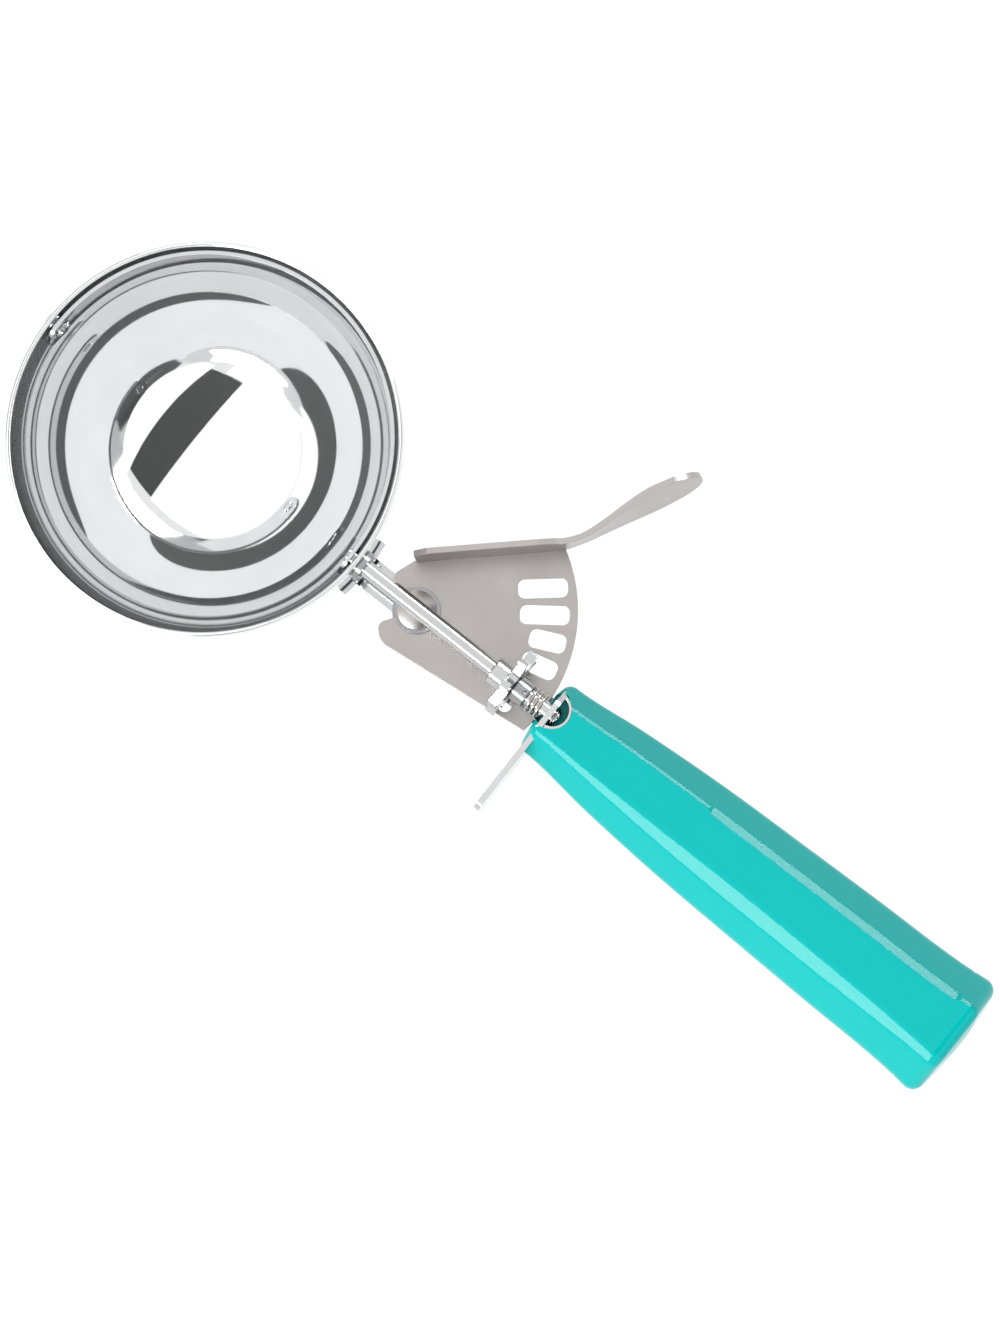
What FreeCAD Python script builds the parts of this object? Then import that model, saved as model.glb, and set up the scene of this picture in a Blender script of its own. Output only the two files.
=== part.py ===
"""Lever ice cream scoop: a steel bowl whose blade is swept by a thumb lever.

The origin is on the spindle axis at the centre of the bowl.
+X runs along the spindle to the handle, +Y points to the thumb lever, +Z leaves the bowl's mouth.
"""
import FreeCAD, Part
import math
import os

import Sketcher
from FreeCAD import Placement, Rotation, Vector

# Driving dimensions: millimetres, degrees for the names that end in _angle
SIZES = {
    "bowl_inner_radius": 39.0,
    "bowl_wall": 1.0,
    "bowl_rim_height": 4.8,
    "spindle_radius": 1.7,
    "spindle_tail": 1.3,
    "spindle_chamfer": 0.3,
    "running_gap": 0.06,
    "seat_gap": 0.02,
    "weld_gap": 0.05,
    "side_gap": 0.15,
    "swing_gap": 0.3,
    "blade_gap": 0.5,
    "blade_width": 8.5,
    "blade_thick": 0.8,
    "blade_stub": 0.8,
    "bush_wall": 0.8,
    "bush_flange_radius": 3.2,
    "bush_flange_thick": 1.2,
    "tip_pin_radius": 1.3,
    "tip_head_radius": 2.6,
    "tip_head_thick": 1.1,
    "tip_washer_thick": 0.4,
    "foot_thick": 1.4,
    "foot_half_width": 6.5,
    "foot_top": 5.0,
    "foot_bottom": 17.0,
    "strap_width": 6.6,
    "strap_thick": 2.0,
    "tang_length": 62.0,
    "pivot_reach": 54.0,
    "rivet_radius": 2.5,
    "rivet_head_radius": 4.0,
    "rivet_head_thick": 1.4,
    "rivet_tail_radius": 3.3,
    "rivet_tail_thick": 1.1,
    "washer_radius": 4.7,
    "washer_thick": 0.5,
    "spacer_radius": 5.2,
    "spacer_thick": 0.9,
    "sheet_thick": 1.2,
    "sector_drop": 6.3,
    "mesh_radius": 24.6,
    "sector_margin": 7.7,
    "slot_long_reach": 4.0,
    "slot_inner_reach": 1.5,
    "slot_outer_reach": 6.1,
    "slot_hidden_reach": 2.8,
    "slot_pitch_angle": 11.5,
    "slot_phase_angle": 2.7,
    "slot_lean_angle": 8.5,
    "slot_width": 4.0,
    "slot_relief_width": 2.9,
    "slot_corner": 1.4,
    "flange_reach": 11.0,
    "flange_angle": 42.8,
    "flange_height": 12.8,
    "arm_half_width": 5.9,
    "pad_half_width": 7.0,
    "lever_length": 31.8,
    "lever_lift": 2.0,
    "pinion_tip_radius": 7.5,
    "pinion_root_radius": 4.4,
    "pinion_thick": 2.0,
    "tooth_tip_width": 1.5,
    "tooth_root_width": 2.5,
    "hub_radius": 3.0,
    "hub_length": 3.6,
    "collar_radius": 2.6,
    "collar_length": 3.4,
    "dowel_radius": 0.45,
    "spring_wire": 0.6,
    "spring_radius": 2.45,
    "spring_leg": 2.6,
    "rest_thick": 1.2,
    "rest_depth": 1.0,
    "rest_lift": 1.3,
    "rest_disc_radius": 6.7,
    "rest_reach": 24.0,
    "rest_root_width": 9.5,
    "rest_tip_width": 7.5,
    "rest_corner": 2.2,
    "clip_radius": 2.1,
    "clip_thick": 0.7,
    "handle_drop": 5.5,
    "handle_shift": 0.7,
    "handle_length": 105.9,
    "handle_front_radius": 8.2,
    "handle_palm_radius": 11.0,
    "handle_heel_radius": 12.3,
    "handle_flare_radius": 13.3,
    "handle_lip_round": 2.2,
    "handle_end_round": 2.6,
    "handle_dome": 0.9,
    "notch_radius": 3.9,
    "notch_shift": 0.8,
    "notch_depth": 3.1,
    "liner_wall": 0.5,
}

# Counts and ratios that are not lengths
TOOTH_COUNT = 8
SPRING_TURNS = 2.5

doc = FreeCAD.newDocument("ice_cream_scoop")
sheet = doc.addObject("Spreadsheet::Sheet", "sizes")
for row, (alias, number) in enumerate(SIZES.items(), start=1):
    sheet.set(f"A{row}", alias)
    sheet.set(f"B{row}", str(number))
    sheet.setAlias(f"B{row}", alias)
doc.recompute()


class Size:
    """A number of the sheet together with the expression that gives it."""

    def __init__(self, number, text):
        self.number = float(number)
        self.text = text

    def __add__(self, other):
        other = as_size(other)
        return Size(self.number + other.number, f"({self.text} + {other.text})")

    def __sub__(self, other):
        other = as_size(other)
        return Size(self.number - other.number, f"({self.text} - {other.text})")

    def __mul__(self, other):
        other = as_size(other)
        return Size(self.number * other.number, f"({self.text} * {other.text})")

    def __truediv__(self, other):
        other = as_size(other)
        return Size(self.number / other.number, f"({self.text} / {other.text})")

    def __neg__(self):
        return Size(-self.number, f"(-1 * {self.text})")

    def __rsub__(self, other):
        return as_size(other) - self

    def __rtruediv__(self, other):
        return as_size(other) / self

    __radd__ = __add__
    __rmul__ = __mul__


def as_size(value):
    """A Size is kept, and a plain number becomes one."""
    return value if isinstance(value, Size) else Size(value, str(value))


def cell(alias):
    """The sheet's value of one driving dimension."""
    return Size(sheet.get(alias), f"sizes.{alias}")


def root(value):
    """Square root of a Size."""
    return Size(math.sqrt(value.number), f"sqrt({value.text})")


def cosine(angle):
    """Cosine of a Size in degrees."""
    return Size(math.cos(math.radians(angle.number)), f"cos({angle.text})")


def sine(angle):
    """Sine of a Size in degrees."""
    return Size(math.sin(math.radians(angle.number)), f"sin({angle.text})")


def cap_radius(half, rise):
    """Radius of the round cap that spans half on each side of the axis and rises by rise."""
    return (half * half + rise * rise) / (rise * 2)


def bind(thing, **properties):
    """Tie properties of an object to the sheet."""
    for name, value in properties.items():
        thing.setExpression(name.replace("__", "."), as_size(value).text)


def origin_plane(body, role):
    """One of the body's own origin planes."""
    return next(feature for feature in body.Origin.OriginFeatures if feature.Role == role)


def start_sketch(body, name, role, base=(0, 0, 0), turn=None):
    """An empty sketch on an origin plane, shifted by base in the sketch's own axes."""
    sketch = body.newObject("Sketcher::SketchObject", name)
    sketch.AttachmentSupport = [(origin_plane(body, role), "")]
    sketch.MapMode = "FlatFace"
    if turn is not None:
        sketch.AttachmentOffset = Placement(Vector(), Rotation(Vector(0, 0, 1), turn.number))
        sketch.setExpression("AttachmentOffset.Rotation.Angle", turn.text)
    for axis, value in zip("xyz", base):
        sketch.setExpression(f"AttachmentOffset.Base.{axis}", as_size(value).text)
    return sketch


def arc_between(start, end, radius):
    """The short arc from start to end: a positive radius turns left, a negative one turns right."""
    chord = end - start
    height = math.sqrt(max(radius * radius - chord.Length ** 2 / 4.0, 0.0))
    left = Vector(-chord.y, chord.x, 0).normalize()
    centre = start + chord * 0.5 + left * math.copysign(height, radius)
    first = math.atan2(start.y - centre.y, start.x - centre.x)
    last = math.atan2(end.y - centre.y, end.x - centre.x)
    if radius < 0:
        first, last = last, first
    circle = Part.Circle(centre, Vector(0, 0, 1), abs(radius))
    return Part.ArcOfCircle(circle, first, last)


def pin_point(sketch, geometry, point, place):
    """Hold one point of a sketch at distances from its origin that follow the sheet."""
    for kind, value in (("DistanceX", place[0]), ("DistanceY", place[1])):
        value = as_size(value)
        index = sketch.addConstraint(
            Sketcher.Constraint(kind, -1, 1, geometry, point, value.number))
        if "sizes." in value.text:
            sketch.setExpression(f"Constraints[{index}]", value.text)


def draw_loop(sketch, corners):
    """Close a loop through corners (x, y) or (x, y, radius), the radius of the arc that arrives."""
    places = [Vector(as_size(c[0]).number, as_size(c[1]).number, 0) for c in corners]
    geometry = []
    for index, corner in enumerate(corners):
        start, end = places[index - 1], places[index]
        if len(corner) == 3:
            radius = as_size(corner[2])
            edge = sketch.addGeometry(arc_between(start, end, radius.number))
            turns_left = radius.number > 0
            geometry.append((edge, 1 if turns_left else 2, 2 if turns_left else 1, radius))
        else:
            edge = sketch.addGeometry(Part.LineSegment(start, end))
            geometry.append((edge, 1, 2, None))
    for index, (edge, first, last, radius) in enumerate(geometry):
        following = geometry[(index + 1) % len(geometry)]
        sketch.addConstraint(
            Sketcher.Constraint("Coincident", edge, last, following[0], following[1]))
        pin_point(sketch, edge, last, corners[index])
        if radius is not None:
            length = abs(radius.number)
            held = sketch.addConstraint(Sketcher.Constraint("Radius", edge, length))
            if "sizes." in radius.text:
                sketch.setExpression(f"Constraints[{held}]", f"abs({radius.text})")


def draw_circle(sketch, x, y, radius):
    """A full circle held by its centre and radius."""
    x, y, radius = as_size(x), as_size(y), as_size(radius)
    circle = Part.Circle(Vector(x.number, y.number, 0), Vector(0, 0, 1), radius.number)
    edge = sketch.addGeometry(circle)
    pin_point(sketch, edge, 3, (x, y))
    held = sketch.addConstraint(Sketcher.Constraint("Radius", edge, radius.number))
    sketch.setExpression(f"Constraints[{held}]", radius.text)


def new_body(name):
    """An empty body whose label names its sub-part."""
    body = doc.addObject("PartDesign::Body", name)
    body.Label = name
    return body


def pad(body, sketch, length, both_ways=False, backward=False):
    """Push a sketch out into a solid."""
    feature = body.newObject("PartDesign::Pad", f"{sketch.Name}_pad")
    feature.Profile = sketch
    feature.Reversed = backward
    feature.SideType = "Symmetric" if both_ways else "One side"
    bind(feature, Length=length)
    return feature


def pocket(body, sketch, length, both_ways=False, backward=False):
    """Cut a sketch away from the solid, and check that it cut something."""
    doc.recompute()
    before = body.Shape.Volume
    feature = body.newObject("PartDesign::Pocket", f"{sketch.Name}_cut")
    feature.Profile = sketch
    feature.Reversed = backward
    feature.SideType = "Symmetric" if both_ways else "One side"
    bind(feature, Length=length)
    doc.recompute()
    if not body.Shape.Volume < before:
        raise RuntimeError(f"{sketch.Name} cuts nothing")
    return feature


def repeat_round(body, feature, axis, count, span=None):
    """Repeat a feature round an axis: the full circle, or over the angle span."""
    pattern = body.newObject("PartDesign::PolarPattern", f"{feature.Name}_ring")
    pattern.Originals = [feature]
    pattern.Axis = axis
    pattern.Angle = 360.0
    if span is not None:
        pattern.Angle = span.number
        bind(pattern, Angle=span)
    pattern.Occurrences = count
    body.Tip = pattern
    doc.recompute()
    return pattern


def turned(name, axis, corners, base=(0, 0, 0)):
    """A turned piece: corners are (x, radius) round X, or (radius, z) round Z."""
    body = new_body(name)
    role = "XY_Plane" if axis == "X" else "XZ_Plane"
    sketch = start_sketch(body, f"{name}_profile", role, base)
    draw_loop(sketch, corners)
    feature = body.newObject("PartDesign::Revolution", f"{name}_turn")
    feature.Profile = sketch
    feature.ReferenceAxis = (sketch, ["H_Axis" if axis == "X" else "V_Axis"])
    feature.Angle = 360.0
    return body


def cylinder(name, axis, radius, start, end, across=(0, 0)):
    """A cylinder along X, Y or Z from start to end, its other two coordinates in across."""
    rod = doc.addObject("Part::Cylinder", name)
    turns = {
        "X": Rotation(Vector(0, 1, 0), 90),
        "Y": Rotation(Vector(1, 0, 0), -90),
        "Z": Rotation(),
    }
    rod.Placement = Placement(Vector(), turns[axis])
    places = dict(zip([letter for letter in "XYZ" if letter != axis], across))
    places[axis] = start
    bind(rod, Radius=radius, Height=end - start)
    for letter, value in places.items():
        rod.setExpression(f"Placement.Base.{letter.lower()}", as_size(value).text)
    return rod


def block(name, x, y, z):
    """A box between the pairs of coordinates x, y and z."""
    brick = doc.addObject("Part::Box", name)
    bind(brick, Length=x[1] - x[0], Width=y[1] - y[0], Height=z[1] - z[0])
    bind(brick, Placement__Base__x=x[0], Placement__Base__y=y[0], Placement__Base__z=z[0])
    return brick


def ball(name, radius):
    """A sphere round the bowl's centre."""
    sphere = doc.addObject("Part::Sphere", name)
    bind(sphere, Radius=radius)
    return sphere


def cut(name, base, tool):
    """Base without tool."""
    result = doc.addObject("Part::Cut", name)
    result.Base = base
    result.Tool = tool
    return result


def fuse(name, shapes):
    """All shapes joined."""
    result = doc.addObject("Part::MultiFuse", name)
    result.Shapes = shapes
    return result


def common(name, shapes):
    """What all shapes share."""
    result = doc.addObject("Part::MultiCommon", name)
    result.Shapes = shapes
    return result


# Places that several pieces share
spindle_radius = cell("spindle_radius")
bowl_inner = cell("bowl_inner_radius")
bowl_outer = bowl_inner + cell("bowl_wall")
blade_half = cell("blade_width") / 2
blade_corner = bowl_inner - cell("blade_gap")
blade_outer = root(blade_corner * blade_corner - blade_half * blade_half)
blade_inner = blade_outer - cell("blade_thick")
foot_outer = bowl_outer + cell("weld_gap") + cell("foot_thick")
pivot_x = cell("pivot_reach")
pinion_x = pivot_x + cell("mesh_radius")
sector_rim = cell("mesh_radius") + cell("sector_margin")
pinion_front = pinion_x - cell("pinion_thick") / 2
pinion_back = pinion_x + cell("pinion_thick") / 2
sector_top = cell("sheet_thick") / 2 - cell("sector_drop")
sector_bottom = sector_top - cell("sheet_thick")
strap_top = sector_bottom - cell("side_gap") - cell("spacer_thick")
strap_bottom = strap_top - cell("strap_thick")
strap_half = cell("strap_width") / 2
mouth_x = pivot_x + sector_rim + 2 * cell("swing_gap")
rest_front = mouth_x + cell("rest_depth")
rest_back = rest_front + cell("rest_thick")
rest_z = cell("rest_lift") - cell("handle_drop")
handle_end = mouth_x + cell("handle_length")
handle_y = -cell("handle_shift")
handle_z = -cell("handle_drop")
notch_x = mouth_x + cell("rest_depth") + cell("rest_thick") / 2
notch_bottom = -cell("notch_depth")
bush_bore = spindle_radius + cell("running_gap")
bush_outer = bush_bore + cell("bush_wall")
spindle_end = rest_back + cell("spindle_tail")


def make_bowl():
    """Spun half ball with a short straight wall, holed for the spindle and the tip pivot."""
    rim = cell("bowl_rim_height")
    body = turned("bowl", "Z", [
        (0, -bowl_outer),
        (bowl_outer, 0, bowl_outer),
        (bowl_outer, rim),
        (bowl_inner, rim),
        (bowl_inner, 0),
        (0, -bowl_inner, -bowl_inner),
    ])
    near = start_sketch(body, "bush_hole", "YZ_Plane")
    draw_circle(near, 0, 0, bush_outer + cell("seat_gap"))
    pocket(body, near, bowl_outer + 1, backward=True)
    far = start_sketch(body, "tip_hole", "YZ_Plane")
    draw_circle(far, 0, 0, cell("tip_pin_radius") + cell("seat_gap"))
    pocket(body, far, bowl_outer + 1)
    return body


def make_foot():
    """Saddle plate welded on the outside of the bowl, under the spindle."""
    shell = cut("foot_shell", ball("foot_ball", foot_outer),
                ball("foot_hollow", bowl_outer + cell("weld_gap")))
    half = cell("foot_half_width")
    window = block("foot_window", (as_size(0), foot_outer), (-half, half),
                   (-cell("foot_bottom"), -cell("foot_top")))
    return common("bowl_foot", [shell, window])


def make_shank():
    """Flat strap from the foot to deep inside the handle."""
    strap = block("strap_bar", (bowl_inner * 0.75, rest_back + cell("tang_length")),
                  (-strap_half, strap_half), (strap_bottom, strap_top))
    tools = fuse("strap_cuts", [
        ball("strap_end", foot_outer + cell("weld_gap")),
        cylinder("strap_hole", "Z", cell("rivet_radius") + cell("seat_gap"),
                 strap_bottom - 1, strap_top + 1, (pivot_x, 0)),
    ])
    return cut("shank", strap, tools)


def make_front_bush():
    """Flanged bush in the bowl's wall, in which the spindle turns."""
    inner_end = blade_outer + cell("swing_gap")
    flange = bowl_outer + cell("weld_gap")
    return turned("front_bush", "X", [
        (inner_end, bush_bore),
        (flange + cell("bush_flange_thick"), bush_bore),
        (flange + cell("bush_flange_thick"), cell("bush_flange_radius")),
        (flange, cell("bush_flange_radius")),
        (flange, bush_outer),
        (inner_end, bush_outer),
    ])


def make_tip_pivot():
    """Rivet through the far side of the bowl, which carries the blade's free eye."""
    pin = cell("tip_pin_radius")
    head = cell("tip_head_radius")
    thick = cell("tip_head_thick")
    inside = -(blade_inner - cell("side_gap"))
    outside = -(bowl_outer + cell("weld_gap"))
    return turned("tip_pivot", "X", [
        (inside + thick * 0.6, 0),
        (inside + thick * 0.6, head * 0.5),
        (inside, head * 0.8),
        (inside, pin),
        (outside, pin),
        (outside, head),
        (outside - thick * 0.5, head * 0.85),
        (outside - thick, head * 0.45),
        (outside - thick, 0),
    ])


def make_tip_washer():
    """Thin washer between the blade's free eye and the wall."""
    start = -(blade_outer + cell("side_gap"))
    end = start - cell("tip_washer_thick")
    outer = cylinder("tip_washer_disc", "X", cell("tip_head_radius") * 0.85, end, start)
    bore = cylinder("tip_washer_bore", "X", cell("tip_pin_radius") + cell("running_gap"),
                    end - 1, start + 1)
    return cut("tip_washer", outer, bore)


def make_sector_rivet():
    """Headed rivet on which the sector swings, clenched under the strap."""
    shaft = cell("rivet_radius")
    head = cell("rivet_head_radius")
    tail = cell("rivet_tail_radius")
    seat = sector_top + cell("side_gap") + cell("washer_thick")
    edge = seat + cell("rivet_head_thick") * 0.35
    crown = seat + cell("rivet_head_thick")
    foot = strap_bottom - cell("rivet_tail_thick")
    return turned("sector_rivet", "Z", [
        (0, foot),
        (tail * 0.8, foot),
        (tail, foot + cell("rivet_tail_thick") * 0.4),
        (tail, strap_bottom),
        (shaft, strap_bottom),
        (shaft, seat),
        (head, seat),
        (head, edge),
        (0, crown, cap_radius(head, crown - edge)),
    ], (pivot_x, 0, 0))


def make_ring(name, outer, bottom, top):
    """Flat ring round the lever's rivet."""
    disc = cylinder(f"{name}_disc", "Z", outer, bottom, top, (pivot_x, 0))
    bore = cylinder(f"{name}_bore", "Z", cell("rivet_radius") + cell("running_gap"),
                    bottom - 1, top + 1, (pivot_x, 0))
    return cut(name, disc, bore)


def draw_rest(body, name, grow, thick, base):
    """Pad the rest's disc and its tab, both larger all round by grow."""
    disc = start_sketch(body, f"{name}_disc", "YZ_Plane", (0, 0, base))
    draw_circle(disc, handle_y, rest_z, cell("rest_disc_radius") + grow)
    tab = start_sketch(body, f"{name}_tab", "YZ_Plane", (0, 0, base))
    wide = cell("rest_root_width") / 2 + grow
    slim = cell("rest_tip_width") / 2 + grow
    tip = -cell("rest_reach")
    corner = cell("rest_corner")
    draw_loop(tab, [
        (handle_y, rest_z + wide),
        (tip + corner, rest_z + slim),
        (tip, rest_z + slim - corner, corner),
        (tip, rest_z - slim + corner),
        (tip + corner, rest_z - slim, corner),
        (handle_y, rest_z - wide),
    ])
    return disc, tab


def make_finger_rest():
    """Steel plate set in the handle's mouth, astride the strap, with a tab for the first finger."""
    body = new_body("finger_rest")
    for sketch in draw_rest(body, "rest", as_size(0), cell("rest_thick"), rest_front):
        pad(body, sketch, cell("rest_thick"))
    bore = start_sketch(body, "rest_bore", "YZ_Plane", (0, 0, rest_front))
    draw_circle(bore, 0, 0, bush_bore)
    pocket(body, bore, cell("rest_thick"), backward=True)
    slot = start_sketch(body, "rest_slot", "YZ_Plane", (0, 0, rest_front))
    gap = cell("weld_gap")
    below = rest_z - 2 * cell("rest_disc_radius")
    draw_loop(slot, [
        (strap_half + gap, below),
        (strap_half + gap, strap_top + gap),
        (-strap_half - gap, strap_top + gap),
        (-strap_half - gap, below),
    ])
    pocket(body, slot, cell("rest_thick"), backward=True)
    return body


def make_handle():
    """Grip moulded round the tang and the finger rest, notched at its mouth for the spindle."""
    front = cell("handle_front_radius")
    palm = cell("handle_palm_radius")
    heel = cell("handle_heel_radius")
    flare = cell("handle_flare_radius")
    lip = cell("handle_lip_round")
    end_round = cell("handle_end_round")
    length = cell("handle_length")
    dome = cell("handle_dome")
    body = turned("handle", "X", [
        (mouth_x, 0),
        (handle_end, 0),
        (handle_end - dome, flare - end_round, cap_radius(flare - end_round, dome)),
        (handle_end - dome - end_round, flare, end_round * 1.02),
        (mouth_x + length * 0.9, heel + (flare - heel) * 0.3, -length * 0.5),
        (mouth_x + length * 0.74, heel),
        (mouth_x + length * 0.34, palm, length * 11),
        (mouth_x + lip, front, length * 5),
        (mouth_x, front - lip, lip * 1.02),
    ], (0, handle_y, handle_z))
    gap = cell("weld_gap")
    tang = start_sketch(body, "tang_slot", "YZ_Plane", (0, 0, mouth_x))
    draw_loop(tang, [
        (strap_half + gap, strap_bottom - gap),
        (strap_half + gap, strap_top + gap),
        (-strap_half - gap, strap_top + gap),
        (-strap_half - gap, strap_bottom - gap),
    ])
    pocket(body, tang, rest_back - mouth_x + cell("tang_length") + gap, backward=True)
    for seat in draw_rest(body, "seat", gap, cell("rest_thick"), rest_front - gap):
        pocket(body, seat, cell("rest_thick") + 2 * gap, backward=True)
    notch = start_sketch(body, "notch", "XY_Plane", (0, 0, notch_bottom))
    draw_circle(notch, notch_x, cell("notch_shift"), cell("notch_radius"))
    pocket(body, notch, cell("handle_front_radius") + cell("handle_drop"), backward=True)
    return body


def make_liner():
    """Thin steel eyelet that edges the back of the handle's notch."""
    gap = cell("weld_gap")
    outer = cell("notch_radius") - gap
    top = handle_z + cell("handle_front_radius") * 0.93
    place = (notch_x, cell("notch_shift"))
    ring = cut("liner_ring",
               cylinder("liner_outer", "Z", outer, notch_bottom + gap, top, place),
               cylinder("liner_inner", "Z", outer - cell("liner_wall"),
                        notch_bottom - 1, top + 1, place))
    half = block("liner_half", (rest_back + 2 * gap, notch_x + cell("notch_radius")),
                 (-cell("notch_radius"), cell("notch_shift") + cell("notch_radius")),
                 (notch_bottom, top))
    return common("notch_liner", [ring, half])


def make_spindle():
    """Long rod from inside the bowl to the handle's notch, with eased ends."""
    start = blade_inner - cell("blade_stub")
    ease = cell("spindle_chamfer")
    return turned("spindle", "X", [
        (start, 0),
        (spindle_end, 0),
        (spindle_end, spindle_radius - ease),
        (spindle_end - ease, spindle_radius),
        (start + ease, spindle_radius),
        (start, spindle_radius - ease),
    ])


def make_sleeve(name, radius, start, end):
    """Sleeve fixed on the spindle, its outer edges eased."""
    ease = cell("spindle_chamfer")
    bore = spindle_radius + cell("seat_gap")
    return turned(name, "X", [
        (start, bore),
        (end, bore),
        (end, radius - ease),
        (end - ease, radius),
        (start + ease, radius),
        (start, radius - ease),
    ])


def make_spring_collar():
    """Sleeve behind the pinion, cross drilled for the spring's moving end."""
    start = pinion_back
    end = start + cell("collar_length")
    sleeve = make_sleeve("collar_sleeve", cell("collar_radius"), start, end)
    dowel = cylinder("collar_drill", "Z", cell("dowel_radius"), spindle_radius - 0.5,
                     cell("collar_radius") + 1, (end - 2 * cell("dowel_radius"), 0))
    return cut("spring_collar", sleeve, dowel)


def make_pinion():
    """Stamped star wheel of eight blunt teeth."""
    body = new_body("pinion")
    disc = start_sketch(body, "pinion_disc", "YZ_Plane", (0, 0, pinion_front))
    draw_circle(disc, 0, 0, cell("pinion_root_radius"))
    pad(body, disc, cell("pinion_thick"))
    turn = cell("slot_phase_angle") / cell("slot_pitch_angle") * (360 / TOOTH_COUNT)
    tooth = start_sketch(body, "pinion_tooth", "YZ_Plane", (0, 0, pinion_front), turn)
    wide = cell("tooth_root_width") / 2
    slim = cell("tooth_tip_width") / 2
    tip = cell("pinion_tip_radius")
    draw_loop(tooth, [
        (-wide, -cell("pinion_root_radius") * 0.9),
        (-slim, -root(tip * tip - slim * slim)),
        (slim, -root(tip * tip - slim * slim), tip),
        (wide, -cell("pinion_root_radius") * 0.9),
    ])
    first = pad(body, tooth, cell("pinion_thick"))
    doc.recompute()
    repeat_round(body, first, (disc, ["N_Axis"]), TOOTH_COUNT)
    bore = start_sketch(body, "pinion_bore", "YZ_Plane", (0, 0, pinion_front))
    draw_circle(bore, 0, 0, spindle_radius + cell("seat_gap"))
    pocket(body, bore, cell("pinion_thick"), backward=True)
    return body


def make_blade():
    """Half hoop of strip steel that follows the bowl's inside, with an eye at each end."""
    hoop = cut("blade_hoop",
               cylinder("blade_outer", "Z", blade_outer, -blade_half, blade_half),
               cylinder("blade_inner", "Z", blade_inner, -blade_half - 1, blade_half + 1))
    reach = blade_outer + 1
    keep = fuse("blade_keep", [
        block("blade_side", (-reach, reach), (as_size(0), reach), (-blade_half, blade_half)),
        cylinder("blade_eyes", "X", blade_half, -reach, reach),
    ])
    strip = common("blade_strip", [hoop, keep])
    holes = fuse("blade_holes", [
        cylinder("blade_spindle_hole", "X", spindle_radius + cell("seat_gap"),
                 as_size(0), reach),
        cylinder("blade_tip_hole", "X", cell("tip_pin_radius") + cell("running_gap"),
                 -reach, as_size(0)),
    ])
    return cut("blade", strip, holes)


def sector_slots():
    """The slots from the spindle side up: angle, inner end, outer end, width and lean."""
    pitch = cell("slot_pitch_angle")
    phase = cell("slot_phase_angle")
    mesh = cell("mesh_radius")
    inner = mesh - cell("slot_inner_reach")
    long_inner = mesh - cell("slot_long_reach")
    outer = mesh + cell("slot_outer_reach")
    hidden = mesh + cell("slot_hidden_reach")
    wide = cell("slot_width")
    level = as_size(0)
    return [
        (phase - pitch, inner * 0.985, hidden, cell("slot_relief_width"), level),
        (phase, inner, hidden, wide, level),
        (phase + pitch * 0.98, inner, outer, wide, level),
        (phase + pitch * 1.95, inner, outer, wide, level),
        (phase + pitch * 2.93, long_inner, outer, wide, level),
        (phase + pitch * 3.98, long_inner, outer, wide,
         cell("slot_lean_angle")),
    ]


def make_sector_plate():
    """Flat gear sector with six slots that the pinion's teeth drop through."""
    body = new_body("sector_plate")
    base = (pivot_x, 0, sector_bottom)
    plate = start_sketch(body, "sector_outline", "XY_Plane", base)
    rim = sector_rim
    along = cell("flange_angle")
    reach = cell("flange_reach")
    side = root(rim * rim - reach * reach)
    # The flange line runs at flange_angle, flange_reach from the rivet
    line_x, line_y = -reach * sine(along), reach * cosine(along)
    # The tail behind the rivet ends in an ear below the spindle
    draw_loop(plate, [
        (line_x + rim * 0.059 * cosine(along), line_y + rim * 0.059 * sine(along)),
        (rim * -0.254, rim * 0.108),
        (rim * -0.229, rim * 0.028),
        (rim * -0.105, rim * -0.053),
        (rim * -0.084, rim * -0.118),
        (rim * -0.118, rim * -0.170),
        (rim * -0.111, rim * -0.248, rim * 0.05),
        (rim * -0.030, rim * -0.291, rim * 0.11),
        (rim * 0.68, rim * -0.210),
        (rim * 0.984, rim * -0.175),
        (line_x + side * cosine(along), line_y + side * sine(along), rim),
    ])
    pad(body, plate, cell("sheet_thick"))
    hole = start_sketch(body, "sector_hole", "XY_Plane", base)
    draw_circle(hole, 0, 0, cell("rivet_radius") + cell("running_gap"))
    pocket(body, hole, cell("sheet_thick"), backward=True)
    corner = cell("slot_corner")
    for number, (angle, inner, outer, wide, lean) in enumerate(sector_slots()):
        slot = start_sketch(body, f"sector_slot_{number}", "XY_Plane", base, angle)
        middle = (inner + outer) / 2
        long, half = (outer - inner) / 2, wide / 2
        ahead, aside = cosine(lean), -sine(lean)

        def place(a, b, *radius):
            return (middle + a * ahead - b * aside, a * aside + b * ahead, *radius)

        draw_loop(slot, [
            place(-long, half - corner),
            place(corner - long, half, -corner * 1.03),
            place(long - corner, half),
            place(long, half - corner, -corner * 1.03),
            place(long, corner - half),
            place(long - corner, -half, -corner * 1.03),
            place(corner - long, -half),
            place(-long, corner - half, -corner * 1.03),
        ])
        pocket(body, slot, cell("sheet_thick"), backward=True)
    return body


# The bent strip beyond the flange, from its foot to the tip of the thumb pad. In each row:
# way along X and along Y as shares of lever_length, width from arm (0) to pad (1),
# lift as a share of lever_lift, and roll in degrees
LEVER_COURSE = [
    (0.000, 0.000, 0.0, 0.0, 0.0),
    (0.045, 0.045, 0.0, 0.1, 2.0),
    (0.110, 0.142, 0.0, 0.2, 3.0),
    (0.170, 0.280, 0.1, 0.4, 0.0),
    (0.233, 0.440, 0.5, 0.6, -5.0),
    (0.296, 0.588, 0.9, 0.8, -8.0),
    (0.368, 0.730, 1.0, 0.9, -7.0),
    (0.453, 0.893, 1.0, 1.0, -6.0),
]
COURSE_STEPS = 4


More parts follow.
